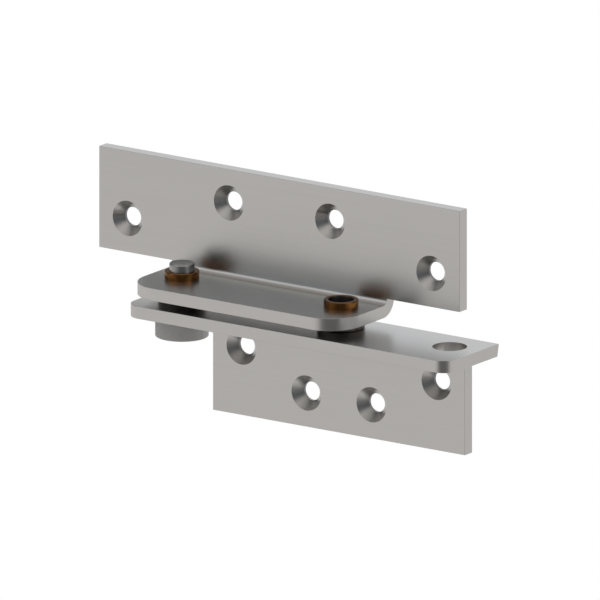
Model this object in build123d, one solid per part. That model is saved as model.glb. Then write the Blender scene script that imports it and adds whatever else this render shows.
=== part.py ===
from build123d import *
import os
from math import radians, tan

# Full surface hinge. The frame leaf is one bent plate, whose arm holds two flanged bushings.
# The door leaf is two plates welded to a T, flush at their right ends, and carries the stepped pivot pin.
# The leaves stand upright and run along X, their screw faces look to -Y, and +Z is up.
# The origin is the centre of the frame leaf's back face. Sizes are in millimetres.

# Sheet
leaf_thickness = 4.76
edge_break = 0.12

# Frame leaf
frame_length = 163.6
frame_height = 38.9
arm_length = 97.6
arm_corner_radius = 12.7
bend_inside_radius = 2.2

# Pivot axis
pin_behind_front = 19.4
pin_before_frame = 16.36
pin_from_end = 12.7

# Door leaf
pivot_plate_length = 146.9
pivot_plate_depth = 33.2
pivot_plate_corner_radius = 6.35
pivot_plate_back_undercut = 0.9
screw_plate_setback = 11.1
door_leaf_height = 38.1
weld_leg = 2.6
weld_from_end = 22.0

# Screw holes
screw_hole_diameter = 7.2
countersink_diameter = 13.5
countersink_angle = 82.0
screw_from_end = 12.9
screw_from_edge = 12.95
door_screw_from_top = 12.0
screws_per_leaf = 4

# Bushings and pin
bore_diameter = 9.525
bushing_diameter = 13.0
bushing_flange_diameter = 17.8
bushing_flange_thickness = 3.12
bushing_stand = 2.86
bushing_chamfer = 0.35
running_clearance = 0.04
thrust_gap = 0.05
pin_stand = 2.9
pin_chamfer = 0.6
pin_shoulder_diameter = 13.0
pin_head_diameter = 19.95
pin_head_height = 9.5
pin_head_break = 0.6
pin_head_to_screw_plate = 9.9

# Heights, from the frame leaf down to the pin's head
frame_bottom = -frame_height / 2
frame_top = frame_height / 2
arm_top = frame_bottom - bend_inside_radius
arm_bottom = arm_top - leaf_thickness
bushing_top = arm_top + bushing_stand
bushing_bottom = arm_bottom - bushing_flange_thickness
pivot_plate_top = bushing_bottom - thrust_gap
pivot_plate_bottom = pivot_plate_top - leaf_thickness
door_leaf_bottom = pivot_plate_top - door_leaf_height
pin_top = bushing_top + pin_stand
pin_bottom = pivot_plate_bottom - pin_head_height

# Depths, from the frame leaf's back face towards the screw heads
frame_face = -leaf_thickness
pin_y = -pin_before_frame
front_y = pin_y - pin_behind_front
pivot_plate_back = front_y + pivot_plate_depth
screw_plate_face = front_y + screw_plate_setback
screw_plate_back = screw_plate_face + leaf_thickness

# Lengths, with the arm in the middle of the frame leaf
frame_left = -frame_length / 2
arm_left = -arm_length / 2
arm_right = arm_length / 2
pin_x = arm_left + pin_from_end
spare_bushing_x = arm_right - pin_from_end
pivot_plate_left = pin_x - pin_from_end
pivot_plate_right = pivot_plate_left + pivot_plate_length
spare_hole_x = pivot_plate_right - pin_from_end
screw_plate_left = pin_x + pin_head_diameter / 2 + pin_head_to_screw_plate
screw_plate_length = pivot_plate_right - screw_plate_left


def box_between(low, high):
    """Return a box from its lowest corner to its highest."""
    size = [b - a for a, b in zip(low, high)]
    middle = [(a + b) / 2 for a, b in zip(low, high)]
    return Pos(*middle) * Box(*size)


def eased(solid, kept_sharp=()):
    """Return a solid with its outer edges rounded as on a deburred plate, apart from those kept sharp."""
    outer = [edge for edge in solid.edges() if not edge.is_interior and edge not in kept_sharp]
    return fillet(outer, edge_break)


def turned(profile, x, y):
    """Return the solid that a closed profile of (radius, height) points makes about a vertical axis."""
    outline = Plane.XZ * make_face(Polyline(*profile, close=True))
    return Pos(x, y, 0) * revolve(outline, Axis.Z)


def upright_hole(x, diameter):
    """Return a vertical cutter on the pivot line, long enough to pass through the arm or the pivot plate."""
    return Pos(x, pin_y, arm_bottom) * Cylinder(diameter / 2, 4 * (leaf_thickness + bushing_flange_thickness))


def screw_places(left, length, outer_z, inner_z):
    """Return the (x, z) of a leaf's screws, evenly spaced, with the end ones on a row of their own."""
    pitch = (length - 2 * screw_from_end) / (screws_per_leaf - 1)
    last = screws_per_leaf - 1
    rows = [outer_z if i in (0, last) else inner_z for i in range(screws_per_leaf)]
    return [(left + screw_from_end + i * pitch, z) for i, z in enumerate(rows)]


def countersunk_cutter(face_y, places):
    """Return the cutters of countersunk holes that open to -Y at a leaf's face."""
    rim = countersink_diameter / 2
    bore = screw_hole_diameter / 2
    slope = tan(radians(countersink_angle / 2))
    past = 1.0
    profile = [
        (0, -past),
        (rim + past * slope, -past),
        (bore, (rim - bore) / slope),
        (bore, leaf_thickness + past),
        (0, leaf_thickness + past),
    ]
    cutter = Rot(X=-90) * turned(profile, 0, 0)
    return [Pos(x, face_y, z) * cutter for x, z in places]


def frame_leaf():
    """Return the bent leaf: an upright screw plate with an arm folded forward from its lower edge."""
    inside_plate = frame_bottom + leaf_thickness
    section = Plane.YZ * make_face(
        Polyline(
            (front_y, arm_bottom),
            (0, arm_bottom),
            (0, inside_plate),
            (frame_face, inside_plate),
            (frame_face, arm_top),
            (front_y, arm_top),
            close=True,
        )
    )
    outside_bend = section.vertices().group_by(Axis.Z)[0].sort_by(Axis.Y)[-1]
    section = fillet(outside_bend, bend_inside_radius + leaf_thickness)
    inside_bend = section.vertices().sort_by_distance((0, frame_face, arm_top))[0]
    section = fillet(inside_bend, bend_inside_radius)
    arm = Pos(arm_left, 0, 0) * extrude(section, arm_length, dir=(1, 0, 0))
    front_corners = arm.edges().filter_by(Axis.Z).group_by(Axis.Y)[0]
    arm = fillet(front_corners, arm_corner_radius)
    arm = eased(arm, arm.edges().group_by(Axis.Z)[-1])
    plate = eased(box_between((frame_left, frame_face, frame_bottom), (-frame_left, 0, frame_top)))
    leaf = plate + arm
    places = screw_places(
        frame_left,
        frame_length,
        frame_bottom + screw_from_edge,
        frame_top - screw_from_edge,
    )
    leaf -= countersunk_cutter(frame_face, places)
    leaf -= [upright_hole(x, bushing_diameter) for x in (pin_x, spare_bushing_x)]
    return leaf


def door_pivot_plate():
    """Return the level plate of the door leaf, with the pin's hole and the spare one at its other end."""
    section = Plane.YZ * make_face(
        Polyline(
            (front_y, pivot_plate_bottom),
            (pivot_plate_back - pivot_plate_back_undercut, pivot_plate_bottom),
            (pivot_plate_back, pivot_plate_top),
            (front_y, pivot_plate_top),
            close=True,
        )
    )
    plate = Pos(pivot_plate_left, 0, 0) * extrude(section, pivot_plate_length, dir=(1, 0, 0))
    front_corners = plate.edges().filter_by(Axis.Z).group_by(Axis.Y)[0]
    plate = eased(fillet(front_corners, pivot_plate_corner_radius))
    flush_corner = box_between(
        (pivot_plate_right - edge_break, screw_plate_face, pivot_plate_bottom),
        (pivot_plate_right, screw_plate_back, pivot_plate_bottom + edge_break),
    )
    plate += flush_corner
    plate -= [upright_hole(x, pin_shoulder_diameter) for x in (pin_x, spare_hole_x)]
    return plate


def screw_plate_blank():
    """Return the door leaf's upright plate before it is eased and drilled."""
    return box_between(
        (screw_plate_left, screw_plate_face, door_leaf_bottom),
        (pivot_plate_right, screw_plate_back, pivot_plate_bottom),
    )


def door_screw_plate():
    """Return the upright plate of the door leaf, which hangs under the pivot plate."""
    blank = screw_plate_blank()
    plate = eased(blank, blank.edges().group_by(Axis.Z)[-1])
    places = screw_places(
        screw_plate_left,
        screw_plate_length,
        pivot_plate_top - door_screw_from_top,
        door_leaf_bottom + screw_from_edge,
    )
    plate -= countersunk_cutter(screw_plate_face, places)
    return plate


def fillet_weld():
    """Return the weld under the pivot plate, along the screw plate's face and clear of its end screws."""
    middle_x = (screw_plate_left + pivot_plate_right) / 2
    middle_y = (screw_plate_face + screw_plate_back) / 2
    skirt = Rectangle(screw_plate_length - 2 * weld_from_end, leaf_thickness + 2 * weld_leg)
    collar = extrude(Pos(middle_x, middle_y, pivot_plate_bottom) * skirt, weld_leg, dir=(0, 0, -1), taper=45)
    corner = box_between(
        (screw_plate_left, screw_plate_face - weld_leg, door_leaf_bottom),
        (pivot_plate_right, screw_plate_face, pivot_plate_bottom),
    )
    return collar & corner


def bushing(x):
    """Return a flanged bushing that is pressed up into the arm from below."""
    bore = bore_diameter / 2
    body = bushing_diameter / 2
    rim = bushing_flange_diameter / 2
    profile = [
        (bore, bushing_bottom),
        (rim - bushing_chamfer, bushing_bottom),
        (rim, bushing_bottom + bushing_chamfer),
        (rim, arm_bottom),
        (body, arm_bottom),
        (body, bushing_top - bushing_chamfer),
        (body - bushing_chamfer, bushing_top),
        (bore, bushing_top),
    ]
    return turned(profile, x, pin_y)


def pivot_pin():
    """Return the stepped pin: head and shoulder hold the door leaf, and the shank turns in the bushing."""
    shank = bore_diameter / 2 - running_clearance
    shoulder = pin_shoulder_diameter / 2
    head = pin_head_diameter / 2
    profile = [
        (0, pin_bottom),
        (head - pin_head_break, pin_bottom),
        (head, pin_bottom + pin_head_break),
        (head, pivot_plate_bottom),
        (shoulder, pivot_plate_bottom),
        (shoulder, pivot_plate_top),
        (shank, pivot_plate_top),
        (shank, pin_top - pin_chamfer),
        (shank - pin_chamfer, pin_top),
        (0, pin_top),
    ]
    return turned(profile, pin_x, pin_y)


parts = {
    "frame_leaf": frame_leaf(),
    "pivot_bushing": bushing(pin_x),
    "spare_bushing": bushing(spare_bushing_x),
    "pivot_pin": pivot_pin(),
    "door_pivot_plate": door_pivot_plate(),
    "door_screw_plate": door_screw_plate(),
    "fillet_weld": fillet_weld(),
}

os.makedirs("parts", exist_ok=True)
for name, shape in parts.items():
    export_step(shape, f"parts/{name}.step")
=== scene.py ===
"""Looks of a full surface hinge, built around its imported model.

Every length is in metres, in the row frame: +X runs along the leaves, +Y goes into the door frame
and +Z is up. The origin is the centre of the frame leaf's back face.
"""

import logging
import math
from dataclasses import dataclass
from enum import Enum
from typing import Callable, Mapping, Sequence

import bmesh
import bpy
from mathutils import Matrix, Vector

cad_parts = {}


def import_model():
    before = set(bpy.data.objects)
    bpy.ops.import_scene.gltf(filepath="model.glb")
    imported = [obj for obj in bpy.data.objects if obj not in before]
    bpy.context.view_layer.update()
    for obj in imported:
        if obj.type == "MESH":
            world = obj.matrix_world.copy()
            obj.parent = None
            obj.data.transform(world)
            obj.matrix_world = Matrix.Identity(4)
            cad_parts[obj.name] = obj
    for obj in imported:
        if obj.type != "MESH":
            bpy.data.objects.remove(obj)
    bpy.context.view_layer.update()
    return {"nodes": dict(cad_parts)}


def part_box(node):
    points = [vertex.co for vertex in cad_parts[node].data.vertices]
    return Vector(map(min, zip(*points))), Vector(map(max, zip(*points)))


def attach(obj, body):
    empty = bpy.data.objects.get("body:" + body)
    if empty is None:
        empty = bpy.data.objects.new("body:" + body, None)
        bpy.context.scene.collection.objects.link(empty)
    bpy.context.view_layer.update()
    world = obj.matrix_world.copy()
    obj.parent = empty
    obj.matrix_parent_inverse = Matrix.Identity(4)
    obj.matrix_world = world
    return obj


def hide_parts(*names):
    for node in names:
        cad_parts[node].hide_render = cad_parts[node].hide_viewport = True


LOG = logging.getLogger("surface_hinge")
MM = 0.001
SAME_HEIGHT = 1e-6
SAME_RADIUS = 2e-5
MERGE_REACH = 1e-7
BUMP_DEPTH = 0.04 * MM
PIN_X = -36.1 * MM
SPARE_X = 36.1 * MM
PIVOT_Y = -16.36 * MM
WHITE = (1.0, 1.0, 1.0, 1.0)

Colour = tuple[float, float, float]
Value = "Signal | float"


class Blend(Enum):
    """How a Mix node puts one colour over another."""

    MIX = "MIX"
    MULTIPLY = "MULTIPLY"


# Shader maths


class Signal:
    """A shader socket that takes part in Python expressions."""

    def __init__(self, graph: "Graph", socket: bpy.types.NodeSocket) -> None:
        """Keep the socket and the graph that it belongs to."""
        self.graph = graph
        self.socket = socket

    def __add__(self, other: Value) -> "Signal":
        """Return the sum."""
        return self.graph.math("ADD", self, other)

    def __radd__(self, other: Value) -> "Signal":
        """Return the sum."""
        return self.graph.math("ADD", other, self)

    def __sub__(self, other: Value) -> "Signal":
        """Return the difference."""
        return self.graph.math("SUBTRACT", self, other)

    def __rsub__(self, other: Value) -> "Signal":
        """Return the difference, the other way round."""
        return self.graph.math("SUBTRACT", other, self)

    def __mul__(self, other: Value) -> "Signal":
        """Return the product."""
        return self.graph.math("MULTIPLY", self, other)

    def __rmul__(self, other: Value) -> "Signal":
        """Return the product."""
        return self.graph.math("MULTIPLY", other, self)

    def __pow__(self, other: Value) -> "Signal":
        """Return the power."""
        return self.graph.math("POWER", self, other)

    def __abs__(self) -> "Signal":
        """Return the size without its sign."""
        return self.graph.math("ABSOLUTE", self)

    def sine(self) -> "Signal":
        """Return the sine."""
        return self.graph.math("SINE", self)

    def root(self) -> "Signal":
        """Return the square root."""
        return self.graph.math("SQRT", self)

    def least(self, other: Value) -> "Signal":
        """Return the lesser of two values."""
        return self.graph.math("MINIMUM", self, other)

    def rises(self, low: float, high: float) -> "Signal":
        """Return a soft step from 0 at low to 1 at high.

        Args:
            low: The value where the step starts.
            high: The value where it ends, which may be the smaller of the two.

        Returns:
            The step, held at its ends.
        """
        if low > high:
            return 1.0 - self.rises(high, low)
        node = self.graph.node(
            "ShaderNodeMapRange",
            {"interpolation_type": "SMOOTHSTEP"},
            {0: self, 1: low, 2: high},
        )
        return Signal(self.graph, node.outputs[0])


class Graph:
    """A node tree that is built by expressions."""

    def __init__(self, owner: bpy.types.ID) -> None:
        """Empty the tree of a material or a world, and keep it.

        Args:
            owner: The material or the world that has the tree.
        """
        owner.use_nodes = True
        self.tree = owner.node_tree
        self.tree.nodes.clear()

    def node(
        self,
        kind: str,
        settings: Mapping[str, object] | None = None,
        sockets: Mapping[str | int, object] | None = None,
    ) -> bpy.types.Node:
        """Add a node.

        Args:
            kind: The node's type.
            settings: Its own settings.
            sockets: The values or the links of its inputs, by name or by number.

        Returns:
            The new node.
        """
        made = self.tree.nodes.new(kind)
        for name, value in (settings or {}).items():
            setattr(made, name, value)
        for key, value in (sockets or {}).items():
            if isinstance(value, Signal):
                self.tree.links.new(value.socket, made.inputs[key])
            else:
                made.inputs[key].default_value = value
        return made

    def out(self, made: bpy.types.Node, key: str | int = 0) -> Signal:
        """Return one of a node's outputs."""
        return Signal(self, made.outputs[key])

    def math(self, operation: str, *terms: Value) -> Signal:
        """Return the result of a Math node."""
        sockets = dict(enumerate(terms))
        return self.out(self.node("ShaderNodeMath", {"operation": operation}, sockets))

    def mix(self, share: Value, first: object, second: object, how: Blend = Blend.MIX) -> Signal:
        """Put one colour over another.

        Args:
            share: How much of the second colour shows, from 0 to 1.
            first: The colour below.
            second: The colour above.
            how: How they are put together.

        Returns:
            The mixed colour.
        """
        settings = {"data_type": "RGBA", "blend_type": how.value}
        made = self.node("ShaderNodeMix", settings, {0: share, 6: first, 7: second})
        return self.out(made, 2)

    def split(self, vector: Signal) -> tuple[Signal, Signal, Signal]:
        """Return a vector's three parts."""
        made = self.node("ShaderNodeSeparateXYZ", {}, {0: vector})
        return self.out(made, 0), self.out(made, 1), self.out(made, 2)

    def place(self) -> Signal:
        """Return the shaded point in the row frame."""
        return self.out(self.node("ShaderNodeTexCoord"), "Object")

    def facing(self) -> Signal:
        """Return the surface's own normal."""
        return self.out(self.node("ShaderNodeNewGeometry"), "True Normal")

    def noise(self, stretch: Sequence[float], detail: float = 3.0) -> Signal:
        """Return noise whose grains are stretched.

        Args:
            stretch: Grains per metre along X, Y and Z.
            detail: How many finer layers the noise has.

        Returns:
            The noise, from 0 to 1.
        """
        sized = self.node("ShaderNodeMapping", {}, {"Vector": self.place(), "Scale": stretch})
        sockets = {"Vector": self.out(sized), "Scale": 1.0, "Detail": detail, "Roughness": 0.55}
        return self.out(self.node("ShaderNodeTexNoise", {}, sockets), 0)

    def surface(self, sockets: Mapping[str | int, object]) -> None:
        """Finish a material with a Principled shader of these inputs."""
        shader = self.node("ShaderNodeBsdfPrincipled", {}, sockets)
        self.node("ShaderNodeOutputMaterial", {}, {"Surface": self.out(shader)})


def full(colour: Colour, gain: float = 1.0) -> tuple[float, float, float, float]:
    """Return a colour with its alpha, made lighter or darker by gain."""
    return (colour[0] * gain, colour[1] * gain, colour[2] * gain, 1.0)


# Finishes


@dataclass(frozen=True)
class SatinStainless:
    """Stainless plate with a fine linear grain, and countersinks that were cut after it was ground."""

    name: str
    holes: tuple[tuple[float, float], ...] = ()
    colour: Colour = (0.575, 0.565, 0.548)
    roughness: float = 0.29
    sink_radius: float = 6.75 * MM
    bore_radius: float = 3.6 * MM
    bore_shade: float = 0.55
    ring_pitch: float = 0.22 * MM
    grain_scale: tuple[float, float, float] = (45.0, 2600.0, 2600.0)
    coarse_share: float = 0.28
    cloud_scale: float = 28.0
    bump: float = 0.10

    def material(self) -> bpy.types.Material:
        """Build the finish.

        Returns:
            The new material.
        """
        made = bpy.data.materials.new(self.name)
        graph = Graph(made)
        x, _, z = graph.split(graph.place())
        _, across, _ = graph.split(graph.facing())
        fine, coarse = self._grain(graph)
        cloud = graph.noise([self.cloud_scale] * 3, 2.0)
        sink, shaded_bore, rings = self._sinks(graph, x, z, across)
        flat = 1.0 - sink
        tone = 0.93 + 0.06 * coarse * flat + 0.05 * fine * flat + 0.05 * cloud
        # Painted shade: the bore walls are darkened by bore_shade; their extra roughness stands for a
        # duller drilled finish.
        base = graph.mix(1.0, full(self.colour), tone * (1.0 - shaded_bore * self.bore_shade), Blend.MULTIPLY)
        rough = self.roughness - 0.05 + 0.06 * fine * flat + 0.05 * cloud + 0.02 * sink + 0.10 * shaded_bore
        height = fine * flat * 0.6 + coarse * flat * 0.4 + rings * sink * 0.5
        bump = graph.node(
            "ShaderNodeBump",
            {},
            {"Strength": self.bump, "Distance": BUMP_DEPTH, "Height": height},
        )
        graph.surface(
            {
                "Base Color": base,
                "Metallic": 1.0,
                "Roughness": rough,
                "Normal": graph.out(bump),
            }
        )
        return made

    def _grain(self, graph: Graph) -> tuple[Signal, Signal]:
        """Return the fine and the coarse part of the ground grain."""
        coarse = [value * self.coarse_share for value in self.grain_scale]
        return graph.noise(self.grain_scale, 2.0), graph.noise(coarse, 2.0)

    def _sinks(self, graph: Graph, x: Signal, z: Signal, across: Signal) -> tuple[Value, ...]:
        """Find the countersinks and their turned rings.

        Args:
            graph: The material's nodes.
            x: The point's place along the leaf.
            z: The point's height.
            across: The surface normal's part through the leaf.

        Returns:
            A mask of the holes, a mask of their bore walls, which get painted shade and a rougher
            drilled finish, and the height of the tool's rings.
        """
        if not self.holes:
            return 0.0, 0.0, 0.0
        nearest = None
        for hole_x, hole_z in self.holes:
            reach = ((x - hole_x) ** 2.0 + (z - hole_z) ** 2.0).root()
            nearest = reach if nearest is None else nearest.least(reach)
        inside = nearest.rises(self.sink_radius * 1.03, self.sink_radius * 0.99)
        leaning = abs(across).rises(0.97, 0.90)
        rings = (nearest * (2.0 * math.pi / self.ring_pitch)).sine() * 0.5 + 0.5
        sink = inside * leaning
        wall = nearest.rises(self.bore_radius * 1.2, self.bore_radius * 1.1)
        # The upright bore walls inside each hole, where shade is painted into the colour.
        shaded_bore = sink * abs(across).rises(0.4, 0.2) * wall
        return sink, shaded_bore, rings


@dataclass(frozen=True)
class MatteAndShadePatch:
    """A patch of a turned part, below a height or inside a radius, with its own colour and roughness:
    the pin's head gets a matte finish there, the bushings get painted shade.
    """

    colour: Colour
    roughness: float
    metallic: float = 1.0
    below: float = -1.0
    inside: float = 0.0


@dataclass(frozen=True)
class TurnedMetal:
    """Metal that came off a lathe, with fine rings about its upright axis."""

    name: str
    axis_x: float
    axis_y: float
    colour: Colour
    shade: Colour
    roughness: float
    ring_pitch: float = 0.12 * MM
    pores: float = 0.0
    matte_and_shade_patches: tuple[MatteAndShadePatch, ...] = ()
    wander_reach: float = 0.02 * MM
    wander_scale: float = 300.0
    cloud_scale: float = 420.0
    pore_scale: float = 5200.0
    bump: float = 0.16

    def material(self) -> bpy.types.Material:
        """Build the finish.

        Returns:
            The new material.
        """
        made = bpy.data.materials.new(self.name)
        graph = Graph(made)
        x, y, z = graph.split(graph.place())
        _, _, up = graph.split(graph.facing())
        radius = ((x - self.axis_x) ** 2.0 + (y - self.axis_y) ** 2.0).root()
        level = abs(up).rises(0.4, 0.9)
        path = radius * level + z * (1.0 - level)
        wander = graph.noise([self.wander_scale] * 3, 2.0)
        wandering = path + wander * self.wander_reach
        rings = (wandering * (2.0 * math.pi / self.ring_pitch)).sine() * 0.5 + 0.5
        cloud = graph.noise([self.cloud_scale] * 3, 4.0)
        tone_and_patches = graph.mix(cloud.rises(0.35, 0.75), full(self.colour), full(self.shade))
        rough = self.roughness + 0.08 * cloud + 0.03 * rings
        height = rings * 0.5
        if self.pores:
            grit = graph.noise([self.pore_scale] * 3, 2.0)
            pits = grit.rises(0.62, 0.74)
            tone_and_patches = graph.mix(pits * self.pores, tone_and_patches, full(self.shade, 0.45))
            height = height - pits * self.pores
        metal: Value = 1.0
        # Each patch lays its own colour over the rest: a matte finish on the pin's head, painted shade
        # on the bushings.
        for patch in self.matte_and_shade_patches:
            share = self._share(patch, z, radius, up)
            patch_colour = graph.mix(cloud, full(patch.colour, 1.12), full(patch.colour, 0.88))
            tone_and_patches = graph.mix(share, tone_and_patches, patch_colour)
            rough = rough * (1.0 - share) + patch.roughness * share
            if patch.metallic < 1.0:
                metal = metal * (1.0 - share) + patch.metallic * share
        bump = graph.node(
            "ShaderNodeBump",
            {},
            {"Strength": self.bump, "Distance": BUMP_DEPTH, "Height": height},
        )
        graph.surface(
            {
                "Base Color": tone_and_patches,
                "Metallic": metal,
                "Roughness": rough,
                "Normal": graph.out(bump),
            }
        )
        return made

    @staticmethod
    def _share(patch: MatteAndShadePatch, z: Signal, radius: Signal, up: Signal) -> Signal:
        """Find where a patch lies.

        Args:
            patch: The patch.
            z: The point's height.
            radius: Its distance from the part's axis.
            up: The surface normal's upright part.

        Returns:
            A mask of the stain.
        """
        low = z.rises(patch.below + 0.03 * MM, patch.below - 0.03 * MM)
        if not patch.inside:
            return low
        upright = abs(up).rises(0.6, 0.3)
        bore = radius.rises(patch.inside + 0.06 * MM, patch.inside + 0.02 * MM) * upright
        return 1.0 - (1.0 - low) * (1.0 - bore)


@dataclass(frozen=True)
class WeldMetal:
    """The brighter, slightly heat-tinted metal of a weld bead that was only brushed clean."""

    name: str = "weld_metal"
    colour: Colour = (0.56, 0.545, 0.52)
    straw: Colour = (0.47, 0.40, 0.30)
    roughness: float = 0.3
    cloud_scale: tuple[float, float, float] = (500.0, 900.0, 900.0)
    grit_scale: float = 4000.0
    bump: float = 0.2
    bump_depth: float = 0.05 * MM

    def material(self) -> bpy.types.Material:
        """Build the finish.

        Returns:
            The new material.
        """
        made = bpy.data.materials.new(self.name)
        graph = Graph(made)
        cloud = graph.noise(self.cloud_scale, 4.0)
        grit = graph.noise([self.grit_scale] * 3, 2.0)
        tinted = graph.mix(cloud.rises(0.5, 0.8) * 0.5, full(self.colour), full(self.straw))
        rough = self.roughness + 0.1 * cloud
        bump = graph.node(
            "ShaderNodeBump",
            {},
            {"Strength": self.bump, "Distance": self.bump_depth, "Height": grit},
        )
        graph.surface(
            {
                "Base Color": tinted,
                "Metallic": 1.0,
                "Roughness": rough,
                "Normal": graph.out(bump),
            }
        )
        return made


# Modelling


class Bench:
    """A mesh on the bench, shaped with edit mode's operators."""

    def __init__(self, name: str) -> None:
        """Take the primitive that was just added, put its place in its mesh, and open it.

        Args:
            name: The piece's name.
        """
        self.piece = bpy.context.active_object
        self.piece.name = name
        self.piece.data.name = name
        bpy.ops.object.transform_apply(location=True, rotation=True, scale=True)
        bpy.ops.object.mode_set(mode="EDIT")
        bpy.ops.mesh.select_all(action="DESELECT")

    @staticmethod
    def clear() -> None:
        """Deselect every object before a primitive is added."""
        bpy.ops.object.select_all(action="DESELECT")

    def pick_faces(self, test: Callable[[Vector, Vector], bool]) -> None:
        """Select only some faces.

        Args:
            test: Whether a face is taken, from its middle and its normal.
        """
        bpy.ops.mesh.select_all(action="DESELECT")
        bpy.ops.mesh.select_mode(type="FACE")
        mesh = bmesh.from_edit_mesh(self.piece.data)
        for face in mesh.faces:
            face.select = test(face.calc_center_median(), face.normal)
        mesh.select_flush_mode()
        bmesh.update_edit_mesh(self.piece.data)

    def pick_edges(self, test: Callable[[Vector, Vector], bool]) -> None:
        """Select only some edges.

        Args:
            test: Whether an edge is taken, from its two ends.
        """
        bpy.ops.mesh.select_all(action="DESELECT")
        bpy.ops.mesh.select_mode(type="EDGE")
        mesh = bmesh.from_edit_mesh(self.piece.data)
        for edge in mesh.edges:
            edge.select = test(edge.verts[0].co, edge.verts[1].co)
        mesh.select_flush_mode()
        bmesh.update_edit_mesh(self.piece.data)

    def pick_level(self, height: float, upward: bool) -> None:
        """Select the level face at a height that looks up or down."""
        sign = 1.0 if upward else -1.0
        self.pick_faces(lambda c, n: abs(c.z - height) < SAME_HEIGHT and n.z * sign > 0.99)

    def pick_circle(self, centre: tuple[float, float], radius: float, height: float) -> None:
        """Select a round edge.

        Args:
            centre: The edge's centre, along X and Y.
            radius: Its radius.
            height: Its height.
        """
        def on_circle(point: Vector) -> bool:
            """Return whether a point lies on the circle."""
            reach = math.hypot(point.x - centre[0], point.y - centre[1])
            return abs(reach - radius) < SAME_RADIUS and abs(point.z - height) < SAME_HEIGHT

        self.pick_edges(lambda a, b: on_circle(a) and on_circle(b))

    def inset(self, width: float) -> None:
        """Inset the selected face."""
        bpy.ops.mesh.inset(thickness=width, depth=0.0)

    def pull(self, rise: float) -> None:
        """Extrude the selected face upwards."""
        bpy.ops.mesh.extrude_region_move(TRANSFORM_OT_translate={"value": (0.0, 0.0, rise)})

    def bevel(self, width: float, steps: int) -> None:
        """Break the selected edges."""
        bpy.ops.mesh.bevel(offset=width, segments=steps, affect="EDGES")

    def close(self, smooth_angle: float = 35.0) -> bpy.types.Object:
        """Leave edit mode and shade the piece.

        Args:
            smooth_angle: The angle in degrees up to which an edge is shaded smooth.

        Returns:
            The finished piece.
        """
        bpy.ops.mesh.select_all(action="SELECT")
        bpy.ops.mesh.remove_doubles(threshold=MERGE_REACH)
        bpy.ops.mesh.normals_make_consistent(inside=False)
        bpy.ops.mesh.select_all(action="DESELECT")
        bpy.ops.object.mode_set(mode="OBJECT")
        bpy.ops.object.shade_smooth_by_angle(angle=math.radians(smooth_angle))
        return self.piece


def dress(piece: bpy.types.Object, material: bpy.types.Material) -> None:
    """Give a piece one material in place of any that it has.

    Args:
        piece: The piece.
        material: Its new material.
    """
    if not piece.material_slots:
        piece.data.materials.append(material)
    for slot in piece.material_slots:
        slot.material = material


def report(piece: bpy.types.Object) -> None:
    """Log a finished piece."""
    LOG.info("%s: %d faces", piece.name, len(piece.data.polygons))


# Sub-assemblies


@dataclass
class FlangedBushing:
    """A bronze bushing with its flange under the arm, pressed in from below."""

    name: str
    node: str
    x: float
    y: float = PIVOT_Y
    bottom: float = -29.53 * MM
    flange_top: float = -26.41 * MM
    top: float = -18.79 * MM
    bore_radius: float = 4.7625 * MM
    body_radius: float = 6.5 * MM
    flange_radius: float = 8.9 * MM
    edge_break: float = 0.35 * MM
    bore_break: float = 0.22 * MM
    facets: int = 128

    def build(self) -> bpy.types.Object:
        """Model the bushing.

        Returns:
            The piece, in place.
        """
        middle = (self.bottom + self.flange_top) / 2
        Bench.clear()
        bpy.ops.mesh.primitive_cylinder_add(
            vertices=self.facets,
            radius=self.flange_radius,
            depth=self.flange_top - self.bottom,
            location=(self.x, self.y, middle),
        )
        bench = Bench(self.name)
        flat = math.cos(math.pi / self.facets)
        bench.pick_level(self.flange_top, upward=True)
        bench.inset((self.flange_radius - self.body_radius) * flat)
        bench.pull(self.top - self.flange_top)
        bench.pick_level(self.top, upward=True)
        bench.inset((self.body_radius - self.bore_radius) * flat)
        bench.pick_level(self.bottom, upward=False)
        bench.inset((self.flange_radius - self.bore_radius) * flat)
        self._open_bore(bench)
        for radius, height, width in self._edges():
            bench.pick_circle((self.x, self.y), radius, height)
            bench.bevel(width, 3)
        return bench.close()

    def _open_bore(self, bench: Bench) -> None:
        """Join the two inset discs into the bore.

        Args:
            bench: The bench with the open mesh.
        """
        reach = self.bore_radius * 0.5
        bench.pick_faces(
            lambda c, n: math.hypot(c.x - self.x, c.y - self.y) < reach and abs(n.z) > 0.99
        )
        bpy.ops.mesh.bridge_edge_loops()

    def _edges(self) -> list[tuple[float, float, float]]:
        """Return the round edges to break, as (radius, height, width)."""
        return [
            (self.flange_radius, self.bottom, self.edge_break),
            (self.flange_radius, self.flange_top, self.edge_break * 0.5),
            (self.body_radius, self.top, self.edge_break),
            (self.bore_radius, self.top, self.bore_break),
            (self.bore_radius, self.bottom, self.bore_break),
        ]

    def fit(self, body: str, slot: str) -> None:
        """Build, dress and mount the bushing in place of its plain solid.

        Args:
            body: The body that the piece rides on.
            slot: Not used.
        """
        piece = self.build()
        finish = TurnedMetal(
            name=f"{self.name}_bronze",
            axis_x=self.x,
            axis_y=self.y,
            colour=(0.27, 0.118, 0.032),
            shade=(0.15, 0.060, 0.018),
            roughness=0.17,
            pores=0.3,
            matte_and_shade_patches=(
                # Painted shade: the flange below its top, in the gap under the arm, and the upright bore
                # wall get a near black, rougher copy of the bronze.
                MatteAndShadePatch((0.140, 0.122, 0.110), 0.38, below=self.flange_top, inside=self.bore_radius),
            ),
        )
        dress(piece, finish.material())
        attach(piece, body)
        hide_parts(self.node)
        report(piece)


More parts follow.
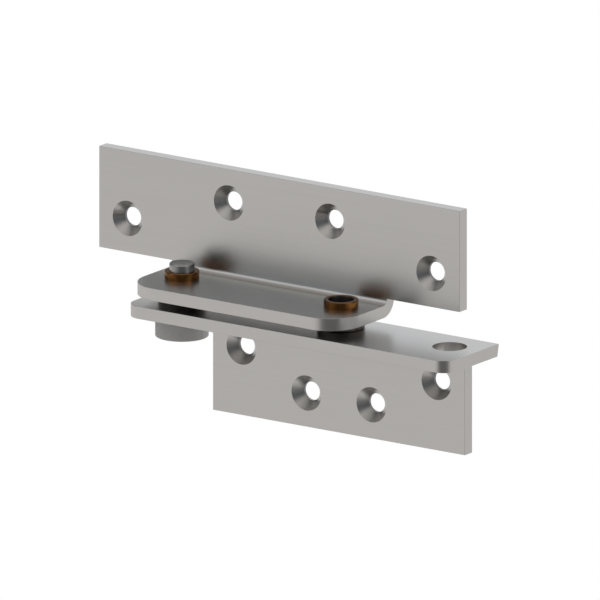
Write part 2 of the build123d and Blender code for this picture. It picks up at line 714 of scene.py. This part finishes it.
@dataclass
class SteppedPin:
    """The pivot pin: head below the door leaf, shoulder in its plate and shank in the bushing."""

    name: str = "stepped_pivot_pin"
    node: str = "pivot_pin"
    x: float = PIN_X
    y: float = PIVOT_Y
    bottom: float = -43.84 * MM
    head_top: float = -34.34 * MM
    shoulder_top: float = -29.58 * MM
    top: float = -15.89 * MM
    head_radius: float = 9.975 * MM
    shoulder_radius: float = 6.5 * MM
    shank_radius: float = 4.7225 * MM
    head_break: float = 0.25 * MM
    lead_in: float = 0.6 * MM
    facets: int = 128

    def build(self) -> bpy.types.Object:
        """Model the pin.

        Returns:
            The piece, in place.
        """
        Bench.clear()
        bpy.ops.mesh.primitive_cylinder_add(
            vertices=self.facets,
            radius=self.head_radius,
            depth=self.head_top - self.bottom,
            location=(self.x, self.y, (self.head_top + self.bottom) / 2),
        )
        bench = Bench(self.name)
        flat = math.cos(math.pi / self.facets)
        bench.pick_level(self.head_top, upward=True)
        bench.inset((self.head_radius - self.shoulder_radius) * flat)
        bench.pull(self.shoulder_top - self.head_top)
        bench.pick_level(self.shoulder_top, upward=True)
        bench.inset((self.shoulder_radius - self.shank_radius) * flat)
        bench.pull(self.top - self.shoulder_top)
        centre = (self.x, self.y)
        bench.pick_circle(centre, self.shank_radius, self.top)
        bench.bevel(self.lead_in, 3)
        bench.pick_circle(centre, self.head_radius, self.bottom)
        bench.bevel(self.head_break, 4)
        bench.pick_circle(centre, self.head_radius, self.head_top)
        bench.bevel(self.head_break * 0.25, 2)
        return bench.close()

    def fit(self, body: str, slot: str) -> None:
        """Build, dress and mount the pin in place of its plain solid.

        Args:
            body: The body that the piece rides on.
            slot: Not used.
        """
        piece = self.build()
        finish = TurnedMetal(
            name="turned_pin_steel",
            axis_x=self.x,
            axis_y=self.y,
            colour=(0.46, 0.45, 0.435),
            shade=(0.38, 0.37, 0.355),
            roughness=0.24,
            matte_and_shade_patches=(MatteAndShadePatch((0.53, 0.525, 0.515), 0.85, metallic=0.0, below=self.head_top),),
        )
        dress(piece, finish.material())
        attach(piece, body)
        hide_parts(self.node)
        report(piece)


@dataclass
class WeldBead:
    """The rippled weld in the corner between the door leaf's two plates."""

    name: str = "rippled_weld_bead"
    node: str = "fillet_weld"
    leg: float = 2.6 * MM
    ripple_pitch: float = 1.5 * MM
    overlap: float = 2.1
    depth_in: float = 1.1 * MM

    def build(self) -> bpy.types.Object:
        """Model one ripple, repeat it along the corner, and trim the bead to the two plates.

        Returns:
            The piece, in place.
        """
        low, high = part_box(self.node)
        face_y, under_z = high.y, high.z
        centre_y, centre_z = face_y + self.depth_in, under_z + self.depth_in
        swell = math.hypot(self.leg + self.depth_in, self.depth_in)
        half = self.ripple_pitch * self.overlap
        run = (high.x - low.x) - 2.0 * half
        count = int(run / self.ripple_pitch) + 1
        Bench.clear()
        bpy.ops.mesh.primitive_uv_sphere_add(
            segments=48,
            ring_count=24,
            radius=1.0,
            location=(low.x + half, centre_y, centre_z),
            scale=(half, swell, swell),
        )
        bench = Bench(self.name)
        bpy.ops.object.mode_set(mode="OBJECT")
        row = bench.piece.modifiers.new("row", "ARRAY")
        row.use_relative_offset = False
        row.use_constant_offset = True
        row.constant_offset_displace = (run / (count - 1), 0.0, 0.0)
        row.count = count
        bpy.ops.object.modifier_apply(modifier=row.name)
        merge = bench.piece.modifiers.new("merge", "REMESH")
        merge.mode = "VOXEL"
        merge.voxel_size = 0.16 * MM
        bpy.ops.object.modifier_apply(modifier=merge.name)
        bpy.ops.object.mode_set(mode="EDIT")
        for point, normal in (
            ((0.0, face_y, 0.0), (0.0, 1.0, 0.0)),
            ((0.0, 0.0, under_z), (0.0, 0.0, 1.0)),
        ):
            bpy.ops.mesh.select_all(action="SELECT")
            bpy.ops.mesh.bisect(plane_co=point, plane_no=normal, use_fill=True, clear_outer=True)
        return bench.close(60.0)

    def fit(self, body: str, slot: str) -> None:
        """Build, dress and mount the bead in place of its plain solid.

        Args:
            body: The body that the piece rides on.
            slot: Not used.
        """
        piece = self.build()
        dress(piece, WeldMetal().material())
        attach(piece, body)
        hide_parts(self.node)
        report(piece)


@dataclass
class Leaves:
    """The plates of both leaves, which keep their solids and get their ground finish."""

    nodes: Mapping[str, bpy.types.Object]
    frame_holes: tuple[tuple[float, float], ...] = (
        (-68.9 * MM, -6.5 * MM),
        (-22.9667 * MM, 6.5 * MM),
        (22.9667 * MM, 6.5 * MM),
        (68.9 * MM, -6.5 * MM),
    )
    door_holes: tuple[tuple[float, float], ...] = (
        (-3.325 * MM, -41.58 * MM),
        (26.1833 * MM, -54.73 * MM),
        (55.6917 * MM, -54.73 * MM),
        (85.2 * MM, -41.58 * MM),
    )

    def fit(self, slot: str) -> None:
        """Dress each plate.

        Args:
            slot: Not used.
        """
        finishes = {
            "frame_leaf": SatinStainless("frame_leaf_satin", self.frame_holes),
            "door_pivot_plate": SatinStainless("pivot_plate_satin"),
            "door_screw_plate": SatinStainless("screw_plate_satin", self.door_holes),
        }
        for node, finish in finishes.items():
            plate = self.nodes[node]
            dress(plate, finish.material())
            report(plate)


# Studio


@dataclass(frozen=True)
class Panel:
    """A soft-edged part of the room that is lighter or darker than what is round it.

    Each of its two ranges is given as (outer, full) at its start and (outer, full) at its end.
    """

    level: float
    turn: tuple[float, float, float, float]
    height: tuple[float, float, float, float]

    def over(self, level: Signal, turn: Signal, z: Signal) -> Signal:
        """Put the panel over the room.

        Args:
            level: The room's brightness so far.
            turn: The direction's turn from the front of the hinge, in radians.
            z: The direction's upright part.

        Returns:
            The brightness with the panel.
        """
        start, full_start, end, full_end = (math.radians(angle) for angle in self.turn)
        foot, full_foot, head, full_head = self.height
        across = turn.rises(start, full_start) * turn.rises(end, full_end)
        share = across * z.rises(foot, full_foot) * z.rises(head, full_head)
        return level * (1.0 - share) + self.level * share


DARK_LEFT_WALL = Panel(0.20, (-122.0, -112.0, -50.0, -75.0), (-0.02, 0.10, 0.90, 0.70))
DIM_RIGHT_WALL = Panel(0.52, (70.0, 95.0, 175.0, 150.0), (0.0, 0.08, 0.40, 0.25))
LIGHT_CEILING = Panel(0.72, (-50.0, -25.0, 70.0, 50.0), (0.60, 0.70, 0.98, 0.92))
DARK_TABLE_EDGE = Panel(0.22, (-135.0, -122.0, -48.0, -60.0), (-1.2, -1.1, -0.62, -0.84))
DARK_PLACE_AT_CAMERA = Panel(0.12, (-20.0, 12.0, 86.0, 58.0), (-0.92, -0.30, 0.85, 0.40))

TABLE_TINT: Colour = (1.0, 0.977, 0.965)
FRONT_WALL_TINT: Colour = (0.85, 0.955, 1.04)
REAR_WALL_TINT: Colour = (0.94, 0.967, 1.01)


@dataclass
class Studio:
    """The camera, the floor and the light round the hinge.

    Each band is (start, full, level), with its start and full place as upright parts of a direction.
    """

    azimuth: float = 35.0
    elevation: float = 15.0
    view_width: float = 0.22305
    target: tuple[float, float, float] = (8.11 * MM, -2.98 * MM, -26.47 * MM)
    distance: float = 0.8
    floor_height: float = -0.075
    floor_size: float = 3.0
    front_wall: float = 0.25
    rear_wall: float = 0.88
    near_table: float = 0.765
    far_table: float = 0.705
    rear_reach: tuple[float, float] = (-0.25, 0.35)
    table_reach: tuple[float, float] = (0.06, -0.12)
    wall_tint_reach: tuple[float, float] = (0.55, 0.30)
    bands: tuple[tuple[float, float, float], ...] = (
        (-0.95, -1.0, 0.30),
        (0.28, 0.42, 0.85),
        (0.70, 0.90, 0.48),
    )
    panels: tuple[Panel, ...] = (
        DARK_LEFT_WALL,
        DIM_RIGHT_WALL,
        LIGHT_CEILING,
        DARK_TABLE_EDGE,
        DARK_PLACE_AT_CAMERA,
    )

    def set_up(self) -> None:
        """Make the camera, the floor and the light."""
        self._camera()
        self._floor()
        self._world()
        bpy.context.scene.view_settings.view_transform = "Standard"

    def _camera(self) -> None:
        """Place the camera at the photograph's angle."""
        turn, rise = math.radians(self.azimuth), math.radians(self.elevation)
        back = Vector(
            (
                math.sin(turn) * math.cos(rise),
                -math.cos(turn) * math.cos(rise),
                math.sin(rise),
            )
        )
        data = bpy.data.cameras.new("camera")
        data.type = "ORTHO"
        data.ortho_scale = self.view_width
        data.clip_end = 10.0
        camera = bpy.data.objects.new("camera", data)
        camera.location = Vector(self.target) + back * self.distance
        camera.rotation_mode = "QUATERNION"
        camera.rotation_quaternion = (-back).to_track_quat("-Z", "Y")
        bpy.context.scene.collection.objects.link(camera)
        bpy.context.scene.camera = camera

    def _floor(self) -> None:
        """Lay a white floor that only the camera sees."""
        Bench.clear()
        bpy.ops.mesh.primitive_plane_add(size=self.floor_size, location=(0.0, 0.0, self.floor_height))
        floor = bpy.context.active_object
        floor.name = "studio_floor"
        material = bpy.data.materials.new("studio_white")
        graph = Graph(material)
        paint = graph.node("ShaderNodeBsdfDiffuse", {}, {"Color": (0.9, 0.9, 0.9, 1.0)})
        glow = graph.node("ShaderNodeEmission", {}, {"Color": WHITE, "Strength": 1.0})
        seen = graph.out(graph.node("ShaderNodeLightPath"), "Is Camera Ray")
        mixed = graph.node("ShaderNodeMixShader", {}, {0: seen, 1: graph.out(paint), 2: graph.out(glow)})
        graph.node("ShaderNodeOutputMaterial", {}, {"Surface": graph.out(mixed)})
        dress(floor, material)
        for ray in ("glossy", "diffuse", "transmission", "volume_scatter", "shadow"):
            setattr(floor, f"visible_{ray}", False)

    def _world(self) -> None:
        """Light the room: a white table, walls, a bright band above them and the panels."""
        world = bpy.data.worlds.new("studio")
        bpy.context.scene.world = world
        graph = Graph(world)
        x, y, z = graph.split(graph.out(graph.node("ShaderNodeTexCoord"), "Generated"))
        behind = y.rises(*self.rear_reach)
        below = z.rises(*self.table_reach)
        level = self._room(z, behind, below)
        turn = graph.math("ARCTAN2", x, 0.0 - y)
        for panel in self.panels:
            level = panel.over(level, turn, z)
        walls = (1.0 - below) * z.rises(*self.wall_tint_reach)
        cool = graph.mix(behind, full(FRONT_WALL_TINT), full(REAR_WALL_TINT))
        tint = graph.mix(walls, full(TABLE_TINT), cool)
        seen = graph.out(graph.node("ShaderNodeLightPath"), "Is Camera Ray")
        colour = graph.mix(seen, tint, WHITE)
        strength = level * (1.0 - seen) + seen
        glow = graph.node("ShaderNodeBackground", {}, {"Color": colour, "Strength": strength})
        graph.node("ShaderNodeOutputWorld", {}, {"Surface": graph.out(glow)})

    def _room(self, z: Signal, behind: Signal, below: Signal) -> Signal:
        """Return the room's brightness in a direction, from the table up to the ceiling.

        Args:
            z: The direction's upright part.
            behind: How far the direction looks behind the hinge, from 0 to 1.
            below: How far it looks down to the table, from 0 to 1.

        Returns:
            The brightness.
        """
        wall = self.front_wall + (self.rear_wall - self.front_wall) * behind
        table = self.near_table + (self.far_table - self.near_table) * behind
        level = wall * (1.0 - below) + table * below
        for start, full_place, band_level in self.bands:
            share = z.rises(start, full_place)
            level = level * (1.0 - share) + band_level * share
        return level


def main() -> None:
    """Build every piece of the hinge and its studio."""
    logging.basicConfig(level=logging.INFO, format="%(name)s: %(message)s")
    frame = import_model()
    Studio().set_up()
    Leaves(frame["nodes"]).fit("leaf_steel")
    bushings = (
        FlangedBushing("pivot_flanged_bushing", "pivot_bushing", PIN_X),
        FlangedBushing("spare_flanged_bushing", "spare_bushing", SPARE_X),
    )
    for bushing in bushings:
        bushing.fit("frame", "bushing_bronze")
    SteppedPin().fit("door", "pin_steel")
    WeldBead().fit("door", "leaf_steel")


if __name__ == "__main__":
    main()
